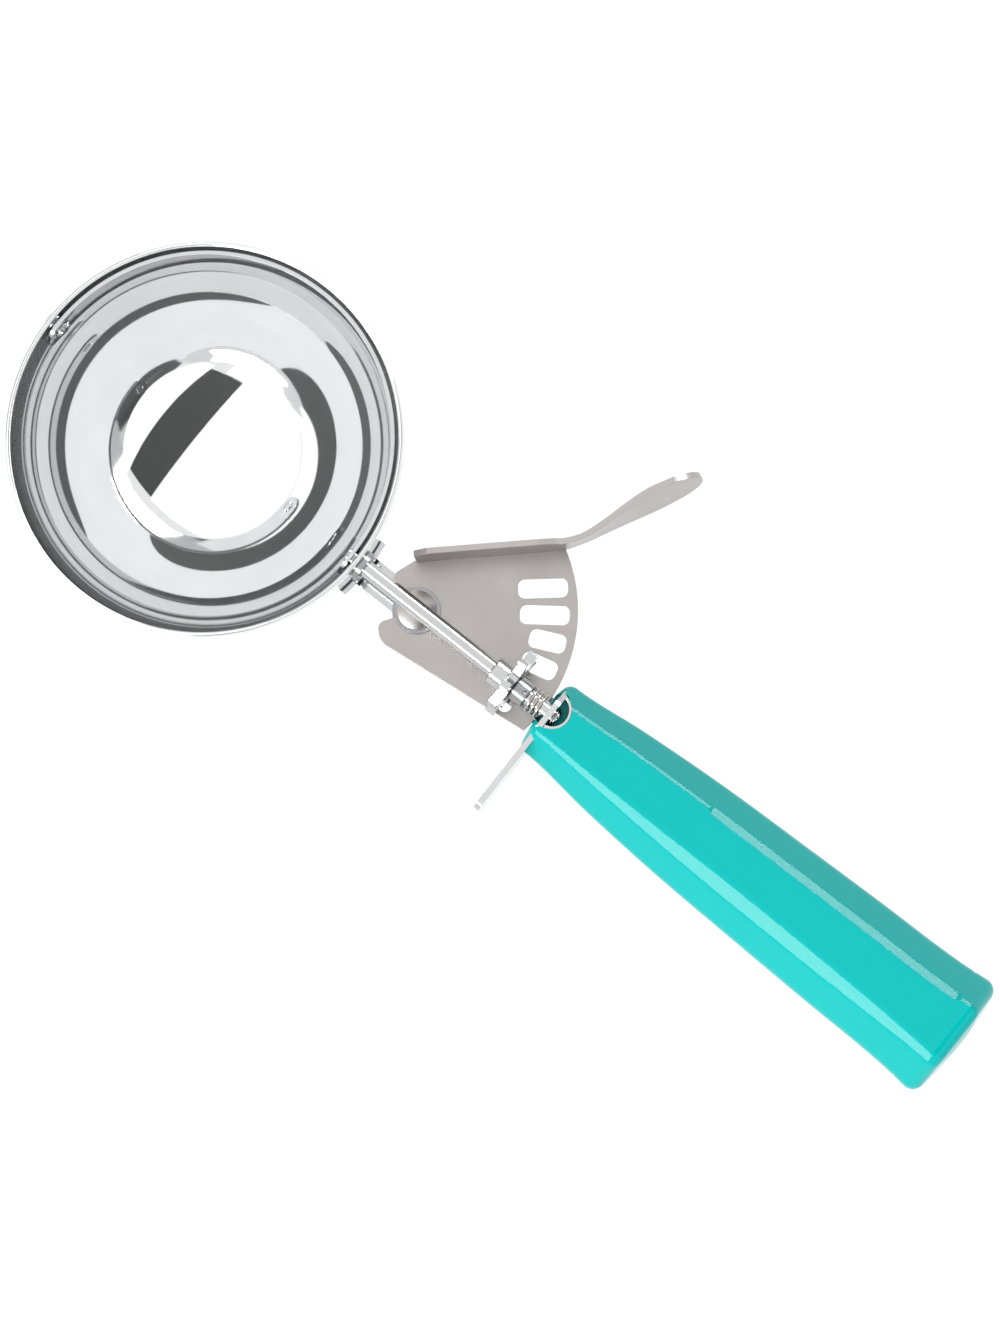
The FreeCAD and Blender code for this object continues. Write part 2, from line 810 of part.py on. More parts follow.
def smooth_rows(rows, steps):
    """Rows between the given ones, on a cubic through them all."""
    result = []
    for index in range(len(rows) - 1):
        before = rows[max(index - 1, 0)]
        start, end = rows[index], rows[index + 1]
        after = rows[min(index + 2, len(rows) - 1)]
        for step in range(steps):
            t = step / steps
            result.append([
                b + 0.5 * t * (c - a + t * (2 * a - 5 * b + 4 * c - d
                                            + t * (3 * (b - c) + d - a)))
                for a, b, c, d in zip(before, start, end, after)])
    return result + [list(rows[-1])]


def lever_sections():
    """Cross-sections of the bent strip, from the flange's start to the thumb pad's tip.

    Each is its place from the rivet, the half width, the height of its middle and its roll.
    """
    along = math.radians(cell("flange_angle").number)
    reach = cell("flange_reach").number
    rim = sector_rim.number
    thick = cell("sheet_thick").number
    arm = cell("arm_half_width").number
    thumb = cell("pad_half_width").number
    length = cell("lever_length").number
    lift = cell("lever_lift").number
    side = math.sqrt(rim * rim - reach * reach)
    flat = Vector(math.cos(along), math.sin(along), 0)
    square = Vector(-math.sin(along), math.cos(along), 0)
    line = square * (reach - thick / 2)
    half = cell("flange_height").number / 2
    middle = sector_bottom.number + half
    bend = line + flat * (side - thick)
    sections = [
        (line + flat * (thick * 0.5), half * 0.8, middle - half * 0.2, 0.0),
        (line + flat * (thick * 2.8), half, middle, 0.0),
        (line + flat * (side - thick * 4), half, middle, 0.0),
    ]
    for x, y, width, rise, roll in smooth_rows(LEVER_COURSE, COURSE_STEPS):
        sections.append((bend + Vector(x, y, 0) * length, arm + (thumb - arm) * width,
                         middle + rise * lift, roll))
    return sections


def make_lever_arm():
    """Upright strip that rises from the sector's flange and ends in a round thumb pad."""
    thick = cell("sheet_thick").number
    sections = lever_sections()
    wires = []
    for index, (place, half, middle, roll) in enumerate(sections):
        before = sections[max(index - 1, 0)][0]
        after = sections[min(index + 1, len(sections) - 1)][0]
        ahead = (after - before).normalize()
        up = Rotation(ahead, roll).multVec(Vector(0, 0, 1))
        out = up.cross(ahead)
        centre = Vector(place.x + pivot_x.number, place.y, middle)
        corners = [centre + up * half * a + out * thick / 2 * b
                   for a, b in ((-1, -1), (1, -1), (1, 1), (-1, 1), (-1, -1))]
        wires.append(Part.makePolygon(corners))
    strip = Part.makeLoft(wires, True, True)
    # A round punch trims the pad's end to a half circle
    place, half, middle, roll = sections[-1]
    ahead = (place - sections[-2][0]).normalize()
    tip = Vector(place.x + pivot_x.number, place.y, middle)
    heel = tip - ahead * half
    flat = Rotation(ahead, roll).multVec(ahead.cross(Vector(0, 0, 1)))
    punch = Part.makeCylinder(half, half * 2, heel - flat * half, flat)
    span = 4 * (cell("lever_length").number + sector_rim.number)
    keep = Part.makeBox(span, span, span, Vector(-span / 2, -span / 2, -span / 2))
    turn = Rotation(flat, ahead.cross(flat), ahead, "ZYX")
    keep.Placement = Placement(heel - ahead * (span / 2), turn)
    trimmed = strip.common(punch.fuse(keep))
    feature = doc.addObject("Part::Feature", "lever_arm")
    feature.Shape = trimmed
    return feature


def make_sector_lever():
    """Sector and thumb lever, stamped and bent from one sheet."""
    return fuse("sector_lever", [make_sector_plate(), make_lever_arm()])


def biarc(start, start_way, end, end_way):
    """Two tangent arcs between two points with given directions."""
    chord = end - start
    both = start_way + end_way
    square = 2 * (1 - start_way.dot(end_way))
    linear = chord.dot(both)
    reach = (-linear + math.sqrt(linear ** 2 + square * chord.dot(chord))) / square
    middle = (start + end + (start_way - end_way) * reach) * 0.5
    return [tangent_arc(start, start_way, middle), tangent_arc(end, end_way * -1, middle, True)]


def tangent_arc(start, way, end, backward=False):
    """The arc that leaves start along way and reaches end."""
    chord = end - start
    normal = chord - way * chord.dot(way)
    radius = chord.dot(chord) / (2 * normal.Length)
    centre = start + normal.normalize() * radius
    out = (start + end) * 0.5 - centre
    halfway = centre + out.normalize() * radius
    if backward:
        start, end = end, start
    return Part.Arc(start, halfway, end).toShape()


def make_spring():
    """Open torsion spring round the spindle, its first leg down on the strap side."""
    wire = cell("spring_wire").number
    radius = cell("spring_radius").number
    leg = cell("spring_leg").number
    first_x = (pinion_back + cell("collar_length")).number + wire
    last_x = mouth_x.number - wire
    pitch = (last_x - first_x) / SPRING_TURNS

    def place(turn):
        angle = 2 * math.pi * turn
        return Vector(first_x + pitch * turn, radius * math.cos(angle), radius * math.sin(angle))

    def direction(turn):
        angle = 2 * math.pi * turn
        way = Vector(pitch / (2 * math.pi), -radius * math.sin(angle), radius * math.cos(angle))
        return way.normalize()

    edges = [Part.LineSegment(place(0) - direction(0) * leg, place(0)).toShape()]
    quarters = int(round(SPRING_TURNS * 4))
    for quarter in range(quarters):
        start, end = quarter / 4, (quarter + 1) / 4
        edges += biarc(place(start), direction(start), place(end), direction(end))
    final = place(SPRING_TURNS)
    way = direction(SPRING_TURNS)
    edges.append(Part.LineSegment(final, final + way * leg).toShape())
    path = Part.Wire(edges)
    section = Part.Wire(Part.makeCircle(wire / 2, edges[0].Vertexes[0].Point, direction(0)))
    tube = path.makePipeShell([section], True, False)
    print("return_spring: volume against section times length",
          round(tube.Volume / (math.pi * wire ** 2 / 4 * path.Length), 4))
    print("return_spring: least gap to itself", round(abs(pitch) - wire, 3))
    feature = doc.addObject("Part::Feature", "return_spring")
    feature.Shape = tube
    return feature


def check(parts):
    """Stop if any object failed, or a sub-part has no valid solid."""
    doc.recompute()
    for thing in doc.Objects:
        if "Invalid" in thing.State or "Error" in thing.State:
            raise RuntimeError(f"{thing.Name} failed: {thing.State}")
    for part in parts:
        if part.Shape.isNull() or not part.Shape.isValid() or not part.Shape.Solids:
            raise RuntimeError(f"{part.Label} has no valid solid")


def main():
    """Build every sub-part and write its file."""
    washer_low = sector_top + cell("side_gap")
    parts = [
        make_bowl(),
        make_foot(),
        make_shank(),
        make_front_bush(),
        make_tip_pivot(),
        make_tip_washer(),
        make_sector_rivet(),
        make_ring("pivot_washer", cell("washer_radius"), washer_low,
                  washer_low + cell("washer_thick")),
        make_ring("pivot_spacer", cell("spacer_radius"), strap_top,
                  strap_top + cell("spacer_thick")),
        make_finger_rest(),
        make_handle(),
        make_liner(),
        make_spring(),
        make_sector_lever(),
        make_spindle(),
        make_sleeve("pinion_hub", cell("hub_radius"),
                    pinion_front - cell("hub_length"), pinion_front),
        make_pinion(),
        make_spring_collar(),
        make_sleeve("spindle_clip", cell("clip_radius"), rest_back + cell("side_gap"),
                    rest_back + cell("side_gap") + cell("clip_thick")),
        make_blade(),
    ]
    check(parts)
    os.makedirs("parts", exist_ok=True)
    for part in parts:
        part.Shape.exportStep(f"parts/{part.Label}.step")
        print(part.Label, len(part.Shape.Solids), round(part.Shape.Volume, 1))


main()
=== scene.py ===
"""Looks of the lever ice cream scoop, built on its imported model."""
import math

import bmesh
import bpy
import numpy as np
from mathutils import Matrix, Vector


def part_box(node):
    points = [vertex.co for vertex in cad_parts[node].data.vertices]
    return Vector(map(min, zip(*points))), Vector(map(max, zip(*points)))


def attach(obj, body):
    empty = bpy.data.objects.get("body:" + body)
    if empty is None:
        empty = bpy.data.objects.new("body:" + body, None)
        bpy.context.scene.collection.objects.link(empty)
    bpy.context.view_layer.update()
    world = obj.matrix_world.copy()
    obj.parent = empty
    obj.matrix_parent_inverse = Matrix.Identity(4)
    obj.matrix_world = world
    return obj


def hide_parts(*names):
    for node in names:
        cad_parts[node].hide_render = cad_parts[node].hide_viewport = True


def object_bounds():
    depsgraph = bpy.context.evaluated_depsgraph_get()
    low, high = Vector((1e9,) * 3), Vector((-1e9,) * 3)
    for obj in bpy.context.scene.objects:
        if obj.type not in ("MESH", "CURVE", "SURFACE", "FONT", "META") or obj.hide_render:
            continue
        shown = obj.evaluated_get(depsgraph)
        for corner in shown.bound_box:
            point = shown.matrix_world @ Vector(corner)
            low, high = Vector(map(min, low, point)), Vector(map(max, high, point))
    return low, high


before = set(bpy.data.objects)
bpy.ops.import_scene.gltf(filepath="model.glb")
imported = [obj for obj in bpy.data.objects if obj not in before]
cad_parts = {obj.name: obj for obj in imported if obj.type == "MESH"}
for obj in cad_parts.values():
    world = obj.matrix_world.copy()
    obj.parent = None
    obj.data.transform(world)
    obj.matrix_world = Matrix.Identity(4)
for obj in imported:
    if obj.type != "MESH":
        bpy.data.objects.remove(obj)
cad_low, cad_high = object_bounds()

# Camera: a long lens that looks down into the bowl's mouth, leaning six degrees
# to the handle and three away from the thumb lever, with the scoop running
# from the upper left of the picture to the lower right.
camera_aim = Vector((0.07417, 0.00146, -0.005))
camera_distance = 1.0
lean_x, lean_y, roll = (math.radians(a) for a in (6.0, 3.0, 38.311))
camera_back = Vector((math.sin(lean_x), -math.sin(lean_y) * math.cos(lean_x),
                      math.cos(lean_x) * math.cos(lean_y))).normalized()
level_x = (Vector((1, 0, 0)) - camera_back * camera_back.x).normalized()
level_y = camera_back.cross(level_x)
camera_right = level_x * math.cos(roll) + level_y * math.sin(roll)
camera_up = level_y * math.cos(roll) - level_x * math.sin(roll)
camera_place = camera_aim + camera_back * camera_distance
camera_data = bpy.data.cameras.new("camera")
camera_data.lens, camera_data.sensor_width = 134.69, 36.0
camera_data.clip_start, camera_data.clip_end = 0.05, 20.0
camera = bpy.data.objects.new("camera", camera_data)
camera.matrix_world = Matrix.Translation(camera_place) @ Matrix(
    (camera_right, camera_up, camera_back)).transposed().to_4x4()
bpy.context.collection.objects.link(camera)
bpy.context.scene.camera = camera
bpy.context.scene.view_settings.view_transform = "Standard"


# Studio: a white world and floor for the camera and for reflections, one soft
# lamp from the finger rest's side for shape, and cards that only reflections
# see: white and dark ones overhead, and two bright strips along the grip.
# World and floor look brighter than they light, so the ground is white at plain light.
world_level, floor_glow, floor_bounce = 0.82, 0.76, 0.35
floor_gap, floor_reach = 0.0003, 3.0


def linear(hex_code):
    """An sRGB colour such as "808080" as the linear RGBA that a shader takes."""
    part = np.array([int(hex_code[i:i + 2], 16) for i in (0, 2, 4)]) / 255
    part = np.where(part <= 0.04045, part / 12.92, ((part + 0.055) / 1.055) ** 2.4)
    return (*part.tolist(), 1.0)


def add(tree, kind, inputs=None, **settings):
    """Adds a node. inputs are sockets to link or constant values, settings its properties."""
    node = tree.nodes.new("ShaderNode" + kind)
    for key, value in settings.items():
        setattr(node, key, value)
    for key, value in (inputs or {}).items():
        if isinstance(value, bpy.types.NodeSocket):
            tree.links.new(value, node.inputs[key])
        else:
            node.inputs[key].default_value = value
    return node


def new_tree(owner):
    """Empties the node tree of a material or world and returns it."""
    owner.use_nodes = True
    owner.node_tree.nodes.clear()
    return owner.node_tree


def seen_as_white(tree):
    """1 for rays that show the background itself: camera, glossy and transmission."""
    path = add(tree, "LightPath")
    some = add(tree, "Math", {0: path.outputs["Is Camera Ray"],
                              1: path.outputs["Is Glossy Ray"]}, operation="MAXIMUM")
    return add(tree, "Math", {0: some.outputs[0], 1: path.outputs["Is Transmission Ray"]},
               operation="MAXIMUM").outputs[0]


def link(name, mesh):
    """A new object that shows mesh."""
    made = bpy.data.objects.new(name, mesh)
    bpy.context.collection.objects.link(made)
    return made


world = bpy.data.worlds.new("studio")
bpy.context.scene.world = world
tree = new_tree(world)
level = add(tree, "MapRange", {"Value": seen_as_white(tree), "To Min": world_level, "To Max": 1.0})
glow = add(tree, "Background", {"Color": linear("FFFFFF"), "Strength": level.outputs[0]})
tree.links.new(glow.outputs[0], add(tree, "OutputWorld").inputs["Surface"])

floor_mesh = bpy.data.meshes.new("floor")
floor_mesh.from_pydata([(floor_reach * a, floor_reach * b, cad_low.z - floor_gap)
                        for a, b in ((-1, -1), (1, -1), (1, 1), (-1, 1))], [], [(0, 1, 2, 3)])
floor_paint = bpy.data.materials.new("white_table")
tree = new_tree(floor_paint)
matt = add(tree, "BsdfDiffuse", {"Color": linear("9C9C9C")})
shine = add(tree, "MapRange", {"Value": seen_as_white(tree),
                               "To Min": floor_bounce, "To Max": floor_glow})
lit = add(tree, "Emission", {"Color": linear("FFFFFF"), "Strength": shine.outputs[0]})
both = add(tree, "AddShader", {0: matt.outputs[0], 1: lit.outputs[0]})
tree.links.new(both.outputs[0], add(tree, "OutputMaterial").inputs["Surface"])
floor_mesh.materials.append(floor_paint)
link("floor", floor_mesh)

lamp_data = bpy.data.lights.new("side_lamp", "AREA")
lamp_data.size, lamp_data.energy = 0.9, 8.2
lamp = bpy.data.objects.new("side_lamp", lamp_data)
lamp.location = (0.05, -0.90, 0.64)
lamp.rotation_euler = (math.radians(55), 0, 0)
lamp.visible_camera = lamp.visible_glossy = False
bpy.context.collection.objects.link(lamp)


def card(name, corners, strength):
    """A flat card seen only in reflections, its corners in metres."""
    mesh = bpy.data.meshes.new(name)
    mesh.from_pydata(corners, [], [tuple(range(len(corners)))])
    paint = bpy.data.materials.new(name)
    tree = new_tree(paint)
    glow = add(tree, "Emission", {"Color": linear("FFFFFF"), "Strength": strength})
    tree.links.new(glow.outputs[0], add(tree, "OutputMaterial").inputs["Surface"])
    mesh.materials.append(paint)
    made = link(name, mesh)
    made.visible_camera = made.visible_diffuse = made.visible_shadow = False


def plank(x, y, z):
    """The four corners of a level rectangle at height z."""
    return [(x[0], y[0], z), (x[1], y[0], z), (x[1], y[1], z), (x[0], y[1], z)]


def upright(x, y, z):
    """The four corners of a rectangle that stands across the X axis at x."""
    return [(x, y[0], z[0]), (x, y[1], z[0]), (x, y[1], z[1]), (x, y[0], z[1])]


# The dark ceiling shows past the white one's end as the wedge in the bowl. The
# side card whitens what lies beyond it, and the left one darkens the far rim.
card("sky_dark", plank(x=(-3.0, 1.42), y=(-1.7, 1.7), z=1.6), strength=0.05)
card("sky_side", plank(x=(1.45, 3.4), y=(-1.9, 1.9), z=1.6), strength=1.7)
card("sky_white", plank(x=(-1.9, 0.40), y=(-1.46, 1.46), z=1.3), strength=1.28)
card("left_dark", upright(x=-2.7, y=(-1.5, 1.5), z=(0.25, 1.5)), strength=0.12)
# These two lie where the grip's chamfers mirror them to the camera.
card("strip_front", plank(x=(-0.85, 0.56), y=(-1.75, -1.02), z=0.9), strength=15.0)
card("strip_back", plank(x=(-0.85, 0.56), y=(1.30, 2.20), z=0.95), strength=15.0)


# Bowl: spun from one sheet of stainless steel and polished to a mirror. It is
# the CAD bowl with fine turning marks round its axis, and a rounded bead on
# the cut edge that catches the light.
patch_size = 0.0143
edge_round = 0.00015
join_distance = 1e-7


def steel(name, tones, rough, grain, stretch, lift, rings=None, haze=0.0):
    """Bare steel: tone and roughness drift in patches, scratches a grain apart run along the
    axis with the smallest stretch and are lift deep, rings is the distance between turning
    marks round Z, and haze is the share of light that scratches scatter. Edges are rounded."""
    paint = bpy.data.materials.new(name)
    tree = new_tree(paint)
    place = add(tree, "TexCoord").outputs["Object"]
    patch = add(tree, "TexNoise", {"Vector": place, "Scale": 1 / patch_size, "Detail": 4.0})
    tint = add(tree, "Mix", {0: patch.outputs[0], 6: linear(tones[0]), 7: linear(tones[1])},
               data_type="RGBA")
    spread = add(tree, "Mapping", {"Vector": place, "Scale": stretch})
    lines = add(tree, "TexNoise", {"Vector": spread.outputs[0], "Scale": 1 / grain,
                                   "Detail": 5.0, "Roughness": 0.7})
    wear = add(tree, "Math", {0: patch.outputs[0], 1: lines.outputs[0]}, operation="ADD")
    dull = add(tree, "MapRange", {"Value": wear.outputs[0], "From Min": 0.7, "From Max": 1.3,
                                  "To Min": rough[0], "To Max": rough[1]})
    height = lines.outputs[0]
    if rings:
        turned = add(tree, "TexWave", {"Vector": place, "Scale": math.pi / 10 / rings,
                                       "Distortion": 0.4, "Detail": 2.0, "Detail Scale": 2.0},
                     wave_type="RINGS", rings_direction="Z")
        height = add(tree, "Math", {0: lines.outputs[0], 1: turned.outputs["Fac"]},
                     operation="ADD").outputs[0]
    edge = add(tree, "Bevel", {"Radius": edge_round}, samples=4)
    bump = add(tree, "Bump", {"Height": height, "Distance": lift, "Normal": edge.outputs[0]})
    shader = add(tree, "BsdfPrincipled", {"Base Color": tint.outputs[2], "Metallic": 1.0 - haze,
                                          "Roughness": dull.outputs[0],
                                          "Normal": bump.outputs[0]})
    tree.links.new(shader.outputs[0], add(tree, "OutputMaterial").inputs["Surface"])
    return paint


def dress(paint, *names):
    """Gives CAD nodes their finish."""
    for name in names:
        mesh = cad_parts[name].data
        mesh.materials.clear()
        mesh.materials.append(paint)


def grid_mesh(name, points, paint):
    """A smooth mesh from points (rows, columns, 3) whose columns close round. Points that
    meet, at a pole or where the last row lies on the first, are joined."""
    rows, columns = points.shape[:2]
    index = np.arange(rows * columns).reshape(rows, columns)
    index = np.hstack([index, index[:, :1]])
    quads = np.stack([index[:-1, :-1], index[1:, :-1], index[1:, 1:], index[:-1, 1:]], -1)
    mesh = bpy.data.meshes.new(name)
    mesh.vertices.add(rows * columns)
    mesh.vertices.foreach_set("co", points.reshape(-1).astype(np.float32))
    mesh.loops.add(quads.size)
    mesh.loops.foreach_set("vertex_index", quads.reshape(-1).astype(np.int32))
    mesh.polygons.add(quads.size // 4)
    mesh.polygons.foreach_set("loop_start", np.arange(0, quads.size, 4, dtype=np.int32))
    mesh.update(calc_edges=True)
    welded = bmesh.new()
    welded.from_mesh(mesh)
    bmesh.ops.remove_doubles(welded, verts=welded.verts, dist=join_distance)
    welded.to_mesh(mesh)
    welded.free()
    mesh.validate()
    mesh.shade_smooth()
    mesh.materials.append(paint)
    return mesh


# Mirror polish shows the room with hard edges, under a faint grey haze. Its
# marks are drawn 0.7 mm apart and the rings 1.2 mm, coarser than the real ones.
mirror = steel("spun_mirror_steel", tones=("EDEDED", "E3E4E5"), rough=(0.015, 0.05),
               grain=0.000714, stretch=(1, 1, 1), lift=1.5e-7, rings=0.001208, haze=0.07)
dress(mirror, "bowl")

# The bead is a thin ring: a circle of bead_radius carried round the rim's middle.
bead_radius, bead_ring, bead_z = 0.00053, 0.0395, 0.00475
bead_columns, bead_rows = 360, 25
turn = np.linspace(0, 2 * np.pi, bead_columns, endpoint=False)
around = np.linspace(0, 2 * np.pi, bead_rows)[:, None]
bead_reach = bead_ring + bead_radius * np.cos(around)
bead_points = np.stack([bead_reach * np.cos(turn), bead_reach * np.sin(turn),
                        bead_z + bead_radius * np.sin(around) + 0 * turn], -1)
bead = link("bowl_edge", grid_mesh("bowl_edge", bead_points[::-1], mirror))
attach(bead, "frame")

# Small polished pieces: the blade, bent from strip to the bowl's curve, the
# saddle plate, the far pivot's rivet, the finger rest and the notch's eyelet.
# Buffed, they mirror softly, with fine marks drawn 1.1 mm apart.
polished = steel("polished_strip_steel", tones=("CCCCCC", "BCBDBF"), rough=(0.04, 0.10),
                 grain=0.00111, stretch=(1, 1, 6), lift=4e-7)
dress(polished, "blade", "bowl_foot", "tip_pivot", "finger_rest", "notch_liner")

# Sector and thumb lever: one stamping of rolled sheet with a satin skin, warm
# grey, mottled by tumbling, its edges rounded by the same. Its rivet is alike.
# The grain is drawn 0.67 mm wide, coarse enough to show.
satin = steel("satin_rolled_steel", tones=("B4B0AD", "A39E9B"), rough=(0.26, 0.38),
              grain=0.000667, stretch=(1, 1, 1), lift=2.5e-6)
dress(satin, "sector_lever", "sector_rivet")

# Spindle, strap and pinion: bright drawn steel. The pinion and its sleeve are
# pressed on the spindle, and the strap is welded to the saddle plate. Drawing
# leaves faint long marks that stretch the highlights across the bar.
bright = steel("bright_drawn_steel", tones=("C4C4C4", "AFB0B1"), rough=(0.07, 0.15),
               grain=0.000833, stretch=(0.08, 1, 1), lift=6e-7)
dress(bright, "shank", "spindle", "pinion", "pinion_hub")

# Bush, washers, collar and clip: turned and ground steel, slipped over the bar
# or a rivet's shank. Grinding leaves them darker and duller than bright bar.
ground = steel("ground_bearing_steel", tones=("A2A2A4", "8C8D90"), rough=(0.16, 0.28),
               grain=0.000667, stretch=(1, 1, 1), lift=1e-6)
dress(ground, "spring_collar", "front_bush", "tip_washer", "pivot_washer", "pivot_spacer",
      "spindle_clip")

# Return spring: hard drawn wire wound round the bar, with a soft grey sheen
# from the drawing.
wire = steel("spring_wire_steel", tones=("C4C1BE", "AFACAA"), rough=(0.12, 0.22),
             grain=0.0004, stretch=(1, 1, 1), lift=8e-7)
dress(wire, "return_spring")


# Grip: one moulding in glossy teal plastic round the strap's tang, a soft
# hexagon in section with a flat on top. One upper corner has a thin chamfer that
# widens to a strip, the other a broad one. The mouth is notched for the spindle.
grip_low, grip_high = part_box("handle")
mouth, butt = grip_low.x, grip_high.x
axis_y, axis_z = (grip_low.y + grip_high.y) / 2, (grip_low.z + grip_high.z) / 2
lip_round, end_round, dome = 0.0022, 0.0026, 0.0009
body_end = butt - dome - end_round
grip_knots = mouth + np.array([0, 2.2, 18, 36, 58, 78.4, 91, 96.5, 102.4]) / 1000
grip_radii = np.array([8.2, 8.2, 9.75, 11.0, 11.75, 12.3, 12.5, 12.75, 13.3]) / 1000
# A facet is known by where it faces, as an angle from straight up towards +Y.
# corner_share rounds the corner after each, as a share of the grip's radius.
facets = np.radians([0, 29, 58, 122, 180, 238, 302, 331])
upper_chamfer, lower_chamfer = 1, 7
chamfer_lean = facets[upper_chamfer]
flat_share = 0.918
corner_share = np.array([0.0, 0.0, 0.40, 0.36, 0.36, 0.40, 0.13, 0.13])
corner_least = 0.00028
line_width, strip_width, strip_ease = 0.0008, 0.0020, 0.0012
strip_start, strip_end = 0.1256, 0.1868
broad_knots = mouth + np.array([0, 22, 50, 78, 102]) / 1000
broad_widths = np.array([1.0, 2.3, 3.6, 3.4, 2.4]) / 1000
groove_x, groove_half_width, groove_depth = 0.1862, 0.0003, 0.00012
notch_x, notch_y = mouth + 0.0016, 0.0008
notch_radius, notch_floor = 0.0039, -0.0031


def through(x, knots, values):
    """Smooth curve through the knots: cubics whose slopes come from the neighbours."""
    knots, values = np.asarray(knots, float), np.asarray(values, float)
    slope = np.gradient(values, knots)
    i = np.clip(np.searchsorted(knots, x) - 1, 0, len(knots) - 2)
    h = knots[i + 1] - knots[i]
    t = np.clip((x - knots[i]) / h, 0, 1)
    return (values[i] * (1 + 2 * t) * (1 - t) ** 2 + values[i + 1] * t * t * (3 - 2 * t)
            + slope[i] * h * t * (1 - t) ** 2 - slope[i + 1] * h * t * t * (1 - t))


def step(x, place, width):
    """Rises smoothly from 0 to 1 over width, centred on place."""
    t = np.clip((x - place) / width + 0.5, 0, 1)
    return t * t * (3 - 2 * t)


def grip_radius(x):
    """Outer radius of the grip at x: slim at the mouth, full in the palm, flared at the heel."""
    return through(x, grip_knots, grip_radii)


def facet_reach(x, facet):
    """Distance of a facet from the axis at x. Both chamfers cut their corner by the width they
    show: half of it times the tangent of their lean, below the point where the flats meet."""
    flat = grip_radius(x) * flat_share
    peak = flat / np.cos(chamfer_lean)
    upper = line_width + (strip_width - line_width) * (step(x, strip_start, strip_ease)
                                                       - step(x, strip_end, strip_ease))
    lower = through(x, broad_knots, broad_widths)
    cut = np.where(facet == upper_chamfer, upper, lower) * np.tan(chamfer_lean) / 2
    chamfered = (facet == upper_chamfer) | (facet == lower_chamfer)
    return np.where(chamfered, peak - cut, flat)


def grip_corner(x, corner, normal):
    """Point of the section at x on the round between facet corner and the next one, where the
    surface faces normal: inset corner of the two flats plus the round's radius along normal."""
    following = (corner + 1) % len(facets)
    first, second = facets[corner], facets[following]
    rounding = np.maximum(grip_radius(x) * corner_share[corner], corner_least)
    near = facet_reach(x, corner) - rounding
    far = facet_reach(x, following) - rounding
    det = np.sin(first - second)
    y = (near * np.cos(second) - far * np.cos(first)) / det + rounding * np.sin(normal)
    z = (far * np.sin(first) - near * np.sin(second)) / det + rounding * np.cos(normal)
    return y, z


def grip_columns():
    """Columns round the section: corner before, corner after, normal and share across a flat.
    Each facet has some columns across it, then its corner's round has some from its own
    normal to the next one's. The top flat is dense, because the notch cuts it."""
    across = np.array([26, 1, 4, 3, 6, 3, 4, 2])
    arcs = np.array([5, 5, 14, 12, 12, 14, 7, 7])
    ends = np.append(facets[1:], 2 * np.pi)
    after = np.repeat(np.arange(len(facets)), across + arcs)
    share = np.concatenate([np.append(np.linspace(0, 1, flat + 2)[1:-1], np.zeros(arc))
                            for flat, arc in zip(across, arcs)])
    normal = np.concatenate([np.append(np.full(flat, here), np.linspace(here, there, arc))
                             for flat, arc, here, there in zip(across, arcs, facets, ends)])
    before = np.where(share > 0, after - 1, after) % len(facets)
    return before, after, normal, share


def grip_section(x, columns):
    """Offsets from the grip's axis of every column at x (rows, columns)."""
    before, after, normal, share = columns
    y0, z0 = grip_corner(x, before, normal)
    y1, z1 = grip_corner(x, after, normal)
    return y0 + (y1 - y0) * share, z0 + (z1 - z0) * share


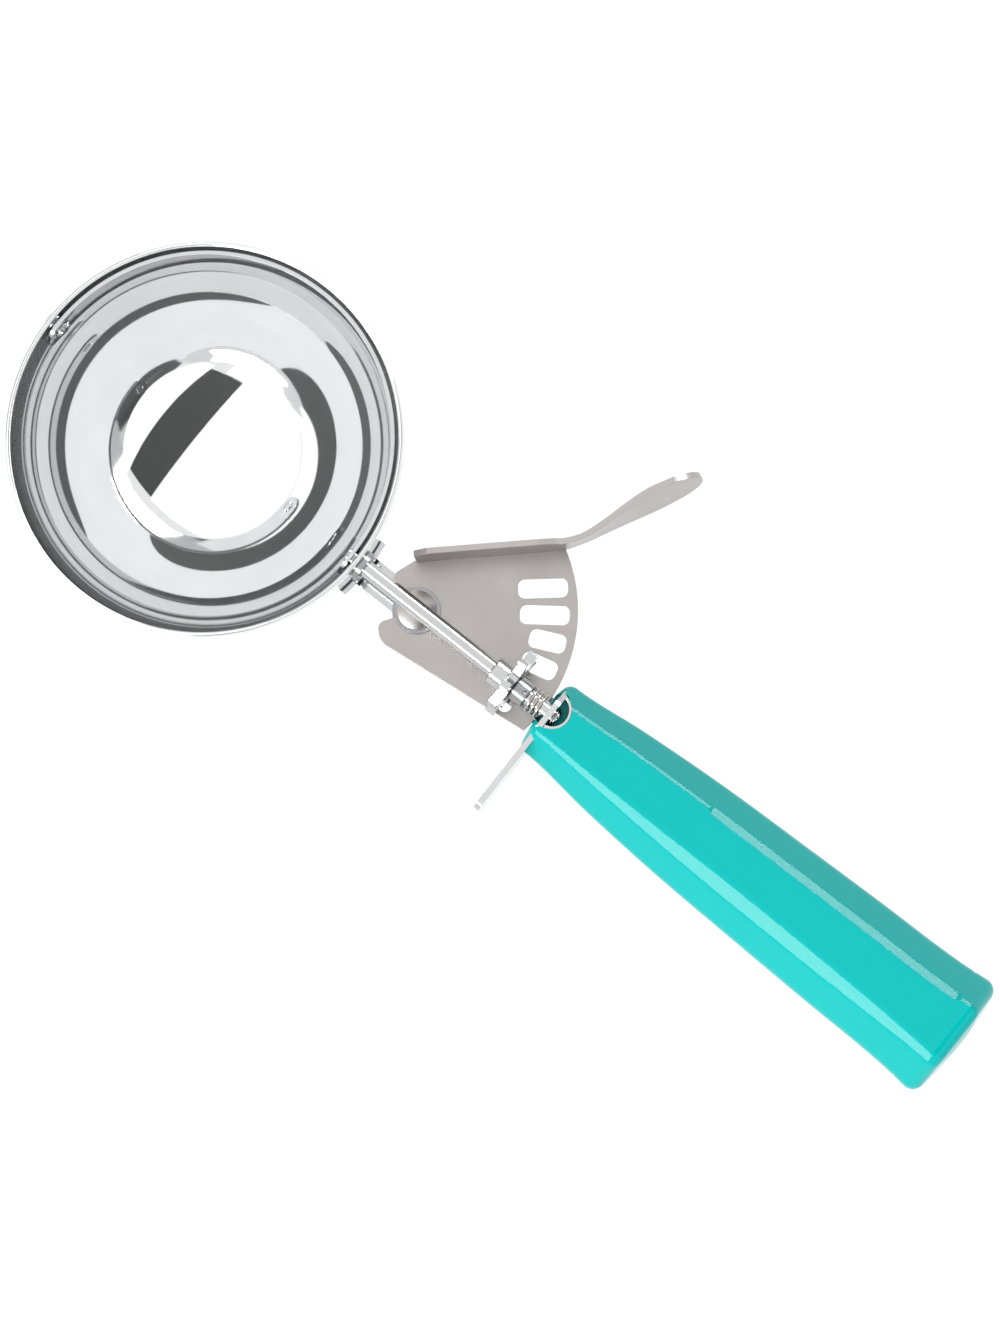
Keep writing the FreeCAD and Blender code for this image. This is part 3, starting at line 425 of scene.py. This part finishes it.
def grip_points():
    """Rows along the grip: the mouth's face, the lip or the notch's floor and wall, the long
    body with a fine groove before the heel, then the rounded butt."""
    columns = grip_columns()
    count = len(columns[0])
    lip_x = mouth + lip_round
    y_lip, z_lip = grip_section(np.full((1, count), lip_x), columns)
    y_lip, z_lip = y_lip[0] + axis_y, z_lip[0] + axis_z
    room = notch_radius ** 2 - (y_lip - notch_y) ** 2
    inside = (room > 0) & (z_lip > notch_floor)
    start = np.where(inside, notch_x + np.sqrt(np.clip(room, 0, None)), lip_x)
    dense_share, dense_rows, other_rows = 0.1, 27, 170
    face_rows, lip_rows, round_rows, cap_rows = 8, 12, 9, 11
    along = np.concatenate([np.linspace(0, dense_share, dense_rows, endpoint=False),
                            np.linspace(dense_share, 1, other_rows)])[:, None]
    x = start + (body_end - start) * along
    y, z = grip_section(x, columns)
    groove = groove_depth * np.exp(-((x - groove_x) / groove_half_width) ** 2)
    shrink = 1 - groove / grip_radius(x)
    y, z = axis_y + y * shrink, axis_z + z * shrink

    rise = np.linspace(0, 1, lip_rows, endpoint=False)[:, None]
    bend = rise * np.pi / 2
    inset = 1 - lip_round * (1 - np.sin(bend)) / grip_radius(lip_x)
    on_floor = np.clip(rise * 2, 0, 1)
    up_wall = np.clip(rise * 2 - 1, 0, 1)
    front_x = np.where(inside, mouth + (start - mouth) * on_floor,
                       mouth + lip_round * (1 - np.cos(bend)))
    front_y = np.where(inside, y[0], axis_y + (y_lip - axis_y) * inset)
    front_z = np.where(inside, notch_floor + (z[0] - notch_floor) * up_wall,
                       axis_z + (z_lip - axis_z) * inset)
    face = np.linspace(0, 1, face_rows, endpoint=False)[:, None]
    face_y = axis_y + (front_y[0] - axis_y) * face
    face_z = axis_z + (front_z[0] - axis_z) * face
    face_x = np.full_like(face_y, mouth)

    bend = np.linspace(0, np.pi / 2, round_rows + 1)[1:, None]
    inset = 1 - end_round * (1 - np.cos(bend)) / grip_radius(body_end)
    round_x = body_end + end_round * np.sin(bend) + 0 * y[-1]
    round_y = axis_y + (y[-1] - axis_y) * inset
    round_z = axis_z + (z[-1] - axis_z) * inset
    shrink = np.linspace(1, 0, cap_rows + 1)[1:, None]
    cap_x = butt - dome * shrink ** 2 + 0 * y[-1]
    cap_y = axis_y + (round_y[-1] - axis_y) * shrink
    cap_z = axis_z + (round_z[-1] - axis_z) * shrink
    return np.stack([np.vstack([face_x, front_x, x, round_x, cap_x]),
                     np.vstack([face_y, front_y, y, round_y, cap_y]),
                     np.vstack([face_z, front_z, z, round_z, cap_z])], -1)


# Moulded plastic with a polish from its mould: clear narrow highlights over a
# full colour. Its tone drifts over 33 mm, and the surface waves over 6 mm.
tone_size, wave_size, wave_depth, sharp_angle = 0.0333, 0.00625, 1.2e-5, 48
teal = bpy.data.materials.new("glossy_teal_plastic")
tree = new_tree(teal)
place = add(tree, "TexCoord").outputs["Object"]
patch = add(tree, "TexNoise", {"Vector": place, "Scale": 1 / tone_size, "Detail": 3.0})
tint = add(tree, "Mix", {0: patch.outputs[0], 6: linear("00BFBB"), 7: linear("00B8B5")},
           data_type="RGBA")
dull = add(tree, "MapRange", {"Value": patch.outputs[0], "From Min": 0.3, "From Max": 0.7,
                              "To Min": 0.05, "To Max": 0.09})
flow = add(tree, "TexNoise", {"Vector": place, "Scale": 1 / wave_size, "Detail": 2.0})
bump = add(tree, "Bump", {"Height": flow.outputs[0], "Distance": wave_depth})
shader = add(tree, "BsdfPrincipled", {"Base Color": tint.outputs[2], "Roughness": dull.outputs[0],
                                      "Specular IOR Level": 0.14, "Normal": bump.outputs[0]})
tree.links.new(shader.outputs[0], add(tree, "OutputMaterial").inputs["Surface"])
grip_mesh = grid_mesh("grip", grip_points(), teal)
grip_mesh.set_sharp_from_angle(angle=math.radians(sharp_angle))
grip = link("grip", grip_mesh)
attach(grip, "frame")
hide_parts("handle")
